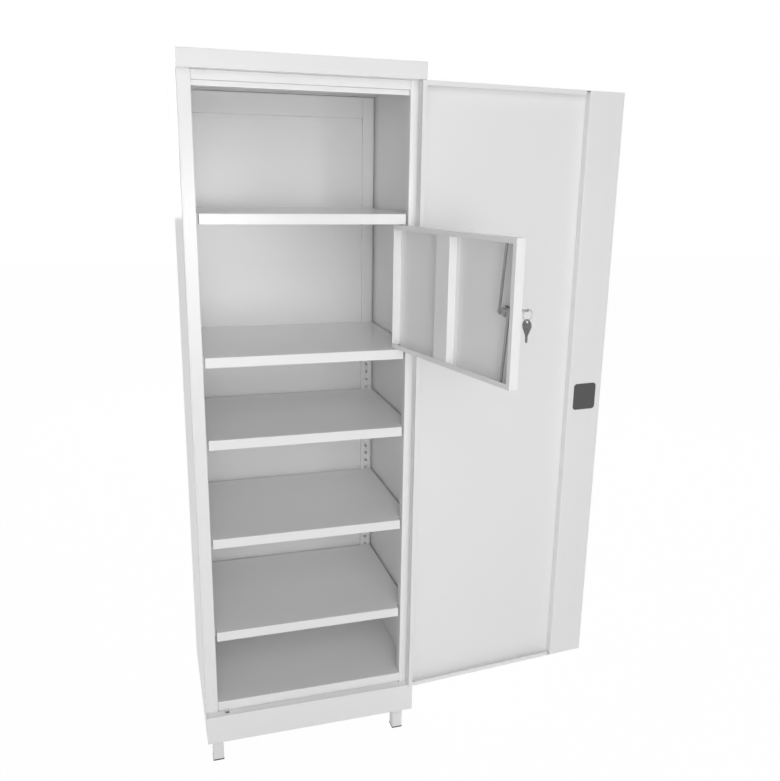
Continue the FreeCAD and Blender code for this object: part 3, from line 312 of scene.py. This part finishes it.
def raised_plate(loops: list[list[tuple[float, float]]], thickness: float, rim: float,
                 place: Matrix) -> bmesh.types.BMesh:
    """Raise a flat outline with holes to a plate on the own XY plane, its rims rounded.

    Args:
        loops: Outline and holes in millimetres, the outline first.
        thickness: In millimetres, centred on the plane.
        rim: Rounding of the rims in millimetres.
        place: Where the shape's own axes go, in metres.

    Returns:
        The closed plate.
    """
    # An edge is a rim where it lies level, within a share of the thickness, and folds sharply.
    level_share, flat_degrees, rim_degrees = 0.1, 1, 60
    shape = bmesh.new()
    half = thickness / 2 * MM
    edges = []
    for loop in loops:
        ring = [shape.verts.new((x * MM, y * MM, -half)) for x, y in loop]
        edges += [shape.edges.new(pair) for pair in zip(ring, ring[1:] + ring[:1])]
    bmesh.ops.triangle_fill(shape, use_beauty=True, edges=edges, normal=(0, 0, 1))
    raised = bmesh.ops.extrude_face_region(shape, geom=list(shape.faces))
    tops = [item for item in raised["geom"] if isinstance(item, bmesh.types.BMVert)]
    bmesh.ops.translate(shape, verts=tops, vec=(0, 0, 2 * half))
    bmesh.ops.recalc_face_normals(shape, faces=shape.faces)
    bmesh.ops.dissolve_limit(shape, angle_limit=math.radians(flat_degrees), verts=shape.verts,
                             edges=shape.edges)
    rims = [edge for edge in shape.edges if len(edge.link_faces) == 2
            and abs(edge.verts[0].co.z - edge.verts[1].co.z) < half * level_share
            and edge.calc_face_angle() > math.radians(rim_degrees)]
    bmesh.ops.bevel(shape, geom=rims, offset=rim * MM, segments=2, profile=0.5,
                    affect="EDGES", clamp_overlap=True)
    shape.transform(place)
    return shape


@dataclass
class Studio:
    """Camera, lamps, floor and surroundings.

    Attributes:
        position: Camera's place in metres.
        turn: Camera's rotation vector, from the fitted view.
        focal_px: Focal length in pixels of the photograph.
        frame_px: Longer side of the photograph in pixels.
        sensor_mm: Sensor along that side.
        floor_colour: Floor's sRGB hex colour.
        floor_roughness: Floor's roughness.
        floor_half_m: Half the floor's side.
        floor_white: Share of plain white that the floor shows.
        world_light: Strength of the even light that the surroundings give.
        lamps: Place, aim, size in metres and power in watts of each lamp.
    """
    position: tuple[float, float, float] = (-0.32774, -1.86398, 1.35832)
    turn: tuple[float, float, float] = (0.2545, -0.2927, -0.0221)
    focal_px: float = 806.84
    frame_px: float = 781.0
    sensor_mm: float = 36.0
    floor_colour: str = "#F2F2F2"
    floor_roughness: float = 0.9
    floor_half_m: float = 12.0
    floor_white: float = 0.985
    world_light: float = 0.21
    lamps: dict[str, tuple] = field(default_factory=lambda: {
        "key_lamp": ((-0.33, -2.3, 1.3), (0.0, 0.0, 0.8), 1.0, 6.0),
        "wash_lamp": ((0.0, -3.2, 1.6), (0.0, 0.0, 0.8), 3.0, 13.0),
        "high_lamp": ((0.0, -4.0, 3.4), (0.0, 0.0, 0.7), 2.0, 24.0),
        "low_lamp": ((0.0, -4.5, 0.5), (0.0, 0.0, 0.7), 1.4, 19.0),
        "side_lamp": ((-2.6, -3.2, 1.8), (0.1, 0.0, 0.8), 1.8, 7.0),
        "back_lamp": ((0.6, 3.4, 2.2), (0.1, 0.0, 0.8), 2.4, 58.0),
        "right_lamp": ((3.2, 0.9, 1.8), (0.2, 0.0, 0.8), 2.6, 18.0),
        "top_lamp": ((0.0, 0.5, 4.0), (0.0, 0.0, 1.6), 2.4, 13.0),
        "left_glint": ((0.02, -2.3, 1.24), (-0.16, 0.19, 1.28), 0.26, 1.9),
        "right_glint": ((0.86, -2.3, 1.3), (0.16, 0.19, 1.3), 0.2, 1.6)})

    def camera(self) -> None:
        """Build the camera at the photograph's viewpoint and make it current."""
        angle = Vector(self.turn).length
        fitted = Matrix.Rotation(angle, 3, Vector(self.turn).normalized())
        basis = Matrix(((1, 0, 0), (0, 0, -1), (0, 1, 0)))
        flip = Matrix(((1, 0, 0), (0, -1, 0), (0, 0, -1)))
        spin = (flip @ fitted @ basis).transposed()
        data = bpy.data.cameras.new("photo_camera")
        data.sensor_width = self.sensor_mm
        data.sensor_fit = "AUTO"
        data.lens = self.focal_px * self.sensor_mm / self.frame_px
        data.clip_start = 0.05
        data.clip_end = 60.0
        camera = bpy.data.objects.new("photo_camera", data)
        camera.matrix_world = Matrix.Translation(self.position) @ spin.to_4x4()
        bpy.context.scene.collection.objects.link(camera)
        bpy.context.scene.camera = camera

    def lights(self) -> None:
        """Build the soft area lamps."""
        for name, (place, aim, size, power) in self.lamps.items():
            data = bpy.data.lights.new(name, "AREA")
            data.shape = "SQUARE"
            data.size = size
            data.energy = power
            lamp = bpy.data.objects.new(name, data)
            look = Vector(aim) - Vector(place)
            lamp.matrix_world = (Matrix.Translation(place)
                                 @ look.to_track_quat("-Z", "Y").to_matrix().to_4x4())
            bpy.context.scene.collection.objects.link(lamp)

    def floor(self) -> None:
        """Build the pale floor, which shows nearly plain white and still takes shadows."""
        made = bpy.data.materials.new("studio_floor")
        made.use_nodes = True
        tree = made.node_tree
        shader = tree.nodes["Principled BSDF"]
        shader.inputs["Base Color"].default_value = linear(self.floor_colour)
        shader.inputs["Roughness"].default_value = self.floor_roughness
        share = add_node(tree, "ShaderNodeMath", {"operation": "MULTIPLY"}, {
            0: seen_ray(tree), 1: self.floor_white})
        white = add_node(tree, "ShaderNodeEmission", inputs={"Color": (1, 1, 1, 1)})
        mixed = add_node(tree, "ShaderNodeMixShader", inputs={
            0: share.outputs[0], 1: shader.outputs[0], 2: white.outputs[0]})
        tree.links.new(mixed.outputs[0], tree.nodes["Material Output"].inputs["Surface"])
        shape = bmesh.new()
        bmesh.ops.create_grid(shape, x_segments=1, y_segments=1, size=self.floor_half_m)
        mesh = bpy.data.meshes.new("studio_floor")
        shape.to_mesh(mesh)
        shape.free()
        mesh.materials.append(made)
        piece = bpy.data.objects.new("studio_floor", mesh)
        bpy.context.scene.collection.objects.link(piece)

    def surroundings(self) -> None:
        """Set the world: soft even light on the object, white behind it."""
        bpy.context.scene.view_settings.view_transform = "Standard"
        world = bpy.context.scene.world or bpy.data.worlds.new("studio_world")
        bpy.context.scene.world = world
        world.use_nodes = True
        tree = world.node_tree
        tree.nodes.clear()
        soft = add_node(tree, "ShaderNodeBackground", inputs={
            "Color": (1, 1, 1, 1), "Strength": self.world_light})
        white = add_node(tree, "ShaderNodeBackground", inputs={
            "Color": (1, 1, 1, 1), "Strength": 1.0})
        mixed = add_node(tree, "ShaderNodeMixShader", inputs={
            0: seen_ray(tree), 1: soft.outputs[0], 2: white.outputs[0]})
        end = add_node(tree, "ShaderNodeOutputWorld")
        tree.links.new(mixed.outputs[0], end.inputs["Surface"])


@dataclass
class Rivets:
    """Domed rivet heads set out by a geometry-node tree.

    Attributes:
        radius_mm: Head's radius.
        height_mm: Head's height.
        sunk_share: Part of the height that the head's rim goes on below its seat.
        sides: Facets round a head.
        rings: Facets from a head's rim to its top.
        crease_degrees: Fold from which an edge of a head is sharp.
    """
    radius_mm: float = 3.2
    height_mm: float = 0.95
    sunk_share: float = 1 / 3
    sides: int = 14
    rings: int = 4
    crease_degrees: float = 50.0

    def head(self, finish: Finish) -> bpy.types.Object:
        """Build one head, its seat on the own XY plane.

        Args:
            finish: Head's finish.

        Returns:
            The head's object.
        """
        sunk = -self.height_mm * self.sunk_share
        profile = [(0.0, sunk), (self.radius_mm, sunk)]
        for index in range(self.rings):
            turn = math.pi / 2 * index / self.rings
            profile.append((self.radius_mm * math.cos(turn), self.height_mm * math.sin(turn)))
        profile.append((0.0, self.height_mm))
        return mesh_object("rivet_head", lathe(profile, self.sides, Matrix()), finish)

    def tree(self, finish: Finish) -> bpy.types.NodeTree:
        """Build the tree that puts a head on each point of a mesh, turned by its direction.

        Args:
            finish: Heads' finish.

        Returns:
            The tree, with the points and the head's object as its inputs.
        """
        group = bpy.data.node_groups.new("rivets_on_points", "GeometryNodeTree")
        group.interface.new_socket("Geometry", in_out="INPUT", socket_type="NodeSocketGeometry")
        group.interface.new_socket("Head", in_out="INPUT", socket_type="NodeSocketObject")
        group.interface.new_socket("Geometry", in_out="OUTPUT", socket_type="NodeSocketGeometry")
        start = add_node(group, "NodeGroupInput")
        info = add_node(group, "GeometryNodeObjectInfo", inputs={"Object": start.outputs["Head"]})
        facing = add_node(group, "GeometryNodeInputNamedAttribute",
                          {"data_type": "FLOAT_VECTOR"}, {"Name": "facing"})
        turned = add_node(group, "FunctionNodeAlignRotationToVector", {"axis": "Z"},
                          {"Vector": facing.outputs["Attribute"]})
        put = add_node(group, "GeometryNodeInstanceOnPoints", inputs={
            "Points": start.outputs["Geometry"], "Instance": info.outputs["Geometry"],
            "Rotation": turned.outputs["Rotation"]})
        real = add_node(group, "GeometryNodeRealizeInstances",
                        inputs={"Geometry": put.outputs["Instances"]})
        dressed = add_node(group, "GeometryNodeSetMaterial", inputs={
            "Geometry": real.outputs["Geometry"], "Material": finish.material()})
        end = add_node(group, "NodeGroupOutput")
        group.links.new(dressed.outputs["Geometry"], end.inputs["Geometry"])
        return group

    def build(self, name: str, spots: list[Vector], facing: Vector, finish: Finish,
              body: Body, slot: Slot) -> bpy.types.Object:
        """Set heads on spots and make the result a plain mesh.

        Args:
            name: Object's name.
            spots: Place of each head in metres.
            facing: Direction that the heads face.
            finish: Heads' finish.
            body: Body that they ride on.
            slot: Record's finish slot; not used.

        Returns:
            The finished object.
        """
        points = bpy.data.meshes.new(name + "_points")
        points.from_pydata([tuple(place) for place in spots], [], [])
        directions = points.attributes.new("facing", "FLOAT_VECTOR", "POINT")
        for entry in directions.data:
            entry.vector = facing
        source = bpy.data.objects.new(name + "_points", points)
        bpy.context.scene.collection.objects.link(source)
        head = self.head(finish)
        modifier = source.modifiers.new("rivets", "NODES")
        modifier.node_group = self.tree(finish)
        sockets = {item.name: item.identifier
                   for item in modifier.node_group.interface.items_tree if item.in_out == "INPUT"}
        modifier[sockets["Head"]] = head
        evaluated = source.evaluated_get(bpy.context.evaluated_depsgraph_get())
        mesh = bpy.data.meshes.new_from_object(evaluated)
        mesh.name = name
        piece = bpy.data.objects.new(name, mesh)
        bpy.context.scene.collection.objects.link(piece)
        for extra in (source, head):
            bpy.data.objects.remove(extra)
        smooth_by_angle(piece, self.crease_degrees)
        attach(piece, body.value)
        return piece


@dataclass
class Carcass:
    """Fixed body: the pop rivets of its back and the strip that closes the plinth from behind.

    Attributes:
        riveted: Pieces whose rear flanges the back panel is riveted to.
        rivets_across: Rivets along each of them.
        side_margin_mm: First and last rivet from the cabinet's sides.
        rail_rivet_mm: Rivet line of the top rail, from the rail's lower edge.
        strip_half_mm: Half the closing strip's length.
        strip_bottom_mm: Height of its lower fold.
        strip_top_mm: Height of its top edge.
        strip_flange_mm: Width of its lower flange.
        strip_sheet_mm: Its sheet's thickness.
        strip_play_mm: Gap between the floor's apron and the strip.
        strip_rim_mm: Rounding of its ends.
    """
    riveted: tuple[str, ...] = ("rear_top_rail", "strongbox_roof", "strongbox_floor",
                                "floor_panel")
    rivets_across: int = 7
    side_margin_mm: float = 50.0
    rail_rivet_mm: float = 6.0
    strip_half_mm: float = 220.0
    strip_bottom_mm: float = 96.0
    strip_top_mm: float = 157.0
    strip_flange_mm: float = 14.0
    strip_sheet_mm: float = 0.8
    strip_play_mm: float = 1.0
    strip_rim_mm: float = 0.15

    def rivets(self) -> bpy.types.Object:
        """Rivet the back panel to the rear flanges in front of it.

        Returns:
            All the heads as one object.
        """
        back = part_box("back_panel")[1][1]
        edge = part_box("top_cap")[1][0] - self.side_margin_mm * MM
        spots = []
        for node in self.riveted:
            bottom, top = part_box(node)
            line = (bottom[2] + top[2]) / 2
            if node == "rear_top_rail":
                line = bottom[2] + self.rail_rivet_mm * MM
            spots += [Vector((-edge + 2 * edge * index / (self.rivets_across - 1), back, line))
                      for index in range(self.rivets_across)]
        return Rivets().build("back_rivets", spots, Vector((0, 1, 0)), NICKEL,
                              Body.CARCASS, Slot.CHROME)

    def plinth_backing(self) -> bpy.types.Object:
        """Close the gap behind the plinth's ledge with a folded strip behind the floor's apron.

        Returns:
            The strip.
        """
        sheet = self.strip_sheet_mm
        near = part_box("floor_panel")[0][1] / MM + self.strip_play_mm
        far, tip = near + sheet, near + self.strip_flange_mm
        low, up = self.strip_bottom_mm, self.strip_bottom_mm + sheet
        section = [(near, self.strip_top_mm), (near, low + sheet), (near + sheet, low),
                   (tip, low), (tip, up), (far + sheet / 2, up), (far, up + sheet / 2),
                   (far, self.strip_top_mm)]
        # The section's own axes go to Y and Z, so that the strip runs along X.
        along = Matrix(((0, 0, 1, 0), (1, 0, 0, 0), (0, 1, 0, 0), (0, 0, 0, 1)))
        shape = raised_plate([section], 2 * self.strip_half_mm, self.strip_rim_mm, along)
        piece = mesh_object("plinth_backing", shape, POWDER_COAT)
        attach(piece, Body.CARCASS.value)
        return piece


@dataclass
class KeySet:
    """Key in the strongbox lock, its ring and the spare key that hangs from it.

    Attributes:
        lock_joint: Joint that the lock turns on.
        plug_node: Node of the lock's plug.
        bow_mm: Half the bow's length.
        bow_width_share: Bow's width over its length.
        bow_steps: Straight pieces round the bow.
        neck_degrees: Half the part of the bow's round that the neck takes up.
        shank_mm: Key's length between the lock and the bow.
        held_mm: Length of the key's blade inside the lock.
        neck_mm: Length of the taper from the bow to the shoulder.
        sheet_mm: Key's thickness.
        rim_mm: Rounding of its edges.
        hole_mm: Radius of the hole in the bow.
        hole_sides: Straight pieces round the hole.
        web_mm: Metal left outside the hole.
        blade_half_mm: Half the blade's width at the shoulder.
        spine_half_mm: Half its width past the shoulder.
        shoulder_mm: Length of the plain part at the shoulder.
        tip_mm: Length of the slanted tip.
        tip_half_mm: Half the tip's width.
        cuts: Notches along the blade.
        uncut_mm: Length of the blade without notches.
        crest_mm: Blade's middle line to the crests between the notches.
        root_mm: Blade's middle line to the deepest notches.
        root_step_mm: How much each of the next two notches is shallower.
        ring_mm: Ring's radius, to the middle of its wire.
        wire_mm: Ring wire's radius.
        wire_sides: Facets round the wire.
        ring_steps: Straight pieces round the ring.
        ring_play_mm: How far the ring's middle stands out from the middle of the web.
        spare_blade_mm: Spare key's blade.
        spare_turn: Spare key's turn about its own length, in degrees.
    """
    frame: dict
    lock_joint: str = "strongbox_lock_turn"
    plug_node: str = "strongbox_lock_plug"
    bow_mm: float = 12.0
    bow_width_share: float = 0.86
    bow_steps: int = 26
    neck_degrees: float = 54.0
    shank_mm: float = 13.0
    held_mm: float = 3.0
    neck_mm: float = 7.0
    sheet_mm: float = 2.0
    rim_mm: float = 0.25
    hole_mm: float = 3.0
    hole_sides: int = 16
    web_mm: float = 2.0
    blade_half_mm: float = 2.7
    spine_half_mm: float = 2.6
    shoulder_mm: float = 1.5
    tip_mm: float = 2.5
    tip_half_mm: float = 0.6
    cuts: int = 6
    uncut_mm: float = 6.0
    crest_mm: float = 2.4
    root_mm: float = 1.2
    root_step_mm: float = 0.5
    ring_mm: float = 10.5
    wire_mm: float = 0.9
    wire_sides: int = 8
    ring_steps: int = 32
    ring_play_mm: float = 0.4
    spare_blade_mm: float = 14.0
    spare_turn: float = 14.0

    def lock_axes(self) -> Matrix:
        """Find the plug's outer face.

        Returns:
            Own axes there: +Z out of the door, +Y up.
        """
        joint = next(item for item in self.frame["record"]["behaviour"]["joints"]
                     if item["name"] == self.lock_joint)
        out = Vector(joint["axis"]).normalized()
        centre = Vector(joint["pos_m"])
        reach = max((vertex.co - centre).dot(out)
                    for vertex in self.frame["nodes"][self.plug_node].data.vertices)
        up = Vector((0, 0, 1))
        across = up.cross(out).normalized()
        axes = Matrix((across, up, out)).transposed().to_4x4()
        return Matrix.Translation(centre + out * reach) @ axes

    def key_loops(self, length: float) -> list[list[tuple[float, float]]]:
        """Outline and bow hole of a key, its bow about the origin and its tip along -Y.

        Args:
            length: Blade from its shoulder to its tip, in millimetres.

        Returns:
            The outline and the hole.
        """
        points = []
        neck = math.radians(self.neck_degrees)
        for index in range(self.bow_steps + 1):
            turn = -math.pi / 2 + neck + (2 * math.pi - 2 * neck) * index / self.bow_steps
            points.append((self.bow_mm * math.cos(turn) * self.bow_width_share,
                           self.bow_mm * math.sin(turn)))
        shoulder = -self.bow_mm - self.neck_mm
        tip = shoulder - length
        points += [(-self.blade_half_mm, shoulder), (-self.spine_half_mm, tip + self.tip_mm),
                   (-self.tip_half_mm, tip)]
        pitch = (length - self.uncut_mm) / self.cuts
        for index in range(self.cuts):
            y = tip + self.tip_mm + pitch * index
            points += [(self.crest_mm, y),
                       (self.root_mm + self.root_step_mm * (index % 3), y + pitch / 2)]
        points += [(self.spine_half_mm, shoulder - self.shoulder_mm),
                   (self.blade_half_mm, shoulder)]
        middle = self.bow_mm - self.web_mm - self.hole_mm
        turns = [2 * math.pi * step / self.hole_sides for step in range(self.hole_sides)]
        hole = [(self.hole_mm * math.cos(turn), middle + self.hole_mm * math.sin(turn))
                for turn in turns]
        return [points, hole]

    def build(self) -> None:
        """Build the key in the lock, the ring and the spare."""
        axes = self.lock_axes()
        stand = self.shank_mm + self.bow_mm
        level = (axes @ Matrix.Translation((0, 0, stand * MM))
                 @ Matrix.Rotation(math.pi / 2, 4, "X"))
        blade = self.shank_mm - self.neck_mm + self.held_mm
        key = raised_plate(self.key_loops(blade), self.sheet_mm, self.rim_mm, level)
        self.finish_piece(mesh_object("strongbox_key", key, KEY_STEEL), Body.BOX_LOCK)
        web = stand + self.bow_mm - self.web_mm / 2 + self.ring_play_mm
        drop = self.ring_mm - self.wire_mm - self.sheet_mm / 2
        ring = self.torus(axes @ Vector((0, -drop * MM, web * MM)), axes)
        self.finish_piece(mesh_object("key_ring", ring, NICKEL), Body.BOX_DOOR)
        low = drop + self.ring_mm - self.wire_mm + self.bow_mm - self.web_mm
        hang = (axes @ Matrix.Translation((0, -low * MM, web * MM))
                @ Matrix.Rotation(math.radians(self.spare_turn), 4, "Y"))
        spare = raised_plate(self.key_loops(self.spare_blade_mm), self.sheet_mm, self.rim_mm, hang)
        self.finish_piece(mesh_object("spare_key", spare, KEY_STEEL), Body.BOX_DOOR)

    def torus(self, centre: Vector, axes: Matrix) -> bmesh.types.BMesh:
        """Build the ring, standing in the plane of the lock's axis and the vertical.

        Args:
            centre: Ring's centre in metres.
            axes: Own axes of the lock.

        Returns:
            The ring's mesh.
        """
        shape = bmesh.new()
        turned = axes.to_3x3()
        side = turned @ Vector((1, 0, 0))
        turns = [2 * math.pi * step / self.wire_sides for step in range(self.wire_sides)]
        rows = []
        for index in range(self.ring_steps):
            around = 2 * math.pi * index / self.ring_steps
            out = turned @ Vector((0, math.cos(around), math.sin(around)))
            rows.append([shape.verts.new(
                centre + out * (self.ring_mm + self.wire_mm * math.cos(turn)) * MM
                + side * self.wire_mm * math.sin(turn) * MM) for turn in turns])
        for row, following in zip(rows, rows[1:] + rows[:1]):
            for step in range(self.wire_sides):
                after = (step + 1) % self.wire_sides
                shape.faces.new((row[step], row[after], following[after], following[step]))
        return shape

    def finish_piece(self, piece: bpy.types.Object, body: Body) -> None:
        """Give a piece its edges and body.

        Args:
            piece: Key or ring.
            body: Body that it rides on.
        """
        smooth_by_angle(piece)
        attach(piece, body.value)


def dress_nodes(frame: dict) -> None:
    """Give every solid the finish of its slot.
    """
    for entry in frame["record"]["subparts"]:
        piece = frame["nodes"][entry["node"]]
        finish = FINISH_OF_SLOT[Slot(entry["material_slot"])]
        if piece.data.materials:
            for index in range(len(piece.data.materials)):
                piece.data.materials[index] = finish.material()
        else:
            piece.data.materials.append(finish.material())
        LOG.info("dressed %s as %s", entry["node"], finish.name)


def main() -> None:
    """Build the looks in order and report each piece."""
    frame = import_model()
    dress_nodes(frame)
    carcass = Carcass()
    for piece in (carcass.rivets(), carcass.plinth_backing()):
        LOG.info("built %s", piece.name)
    KeySet(frame).build()
    LOG.info("built the keys")
    studio = Studio()
    studio.camera()
    studio.lights()
    studio.floor()
    studio.surroundings()
    LOG.info("built the studio")


if __name__ == "__main__":
    logging.basicConfig(level=logging.INFO, format="%(name)s %(message)s")
    main()
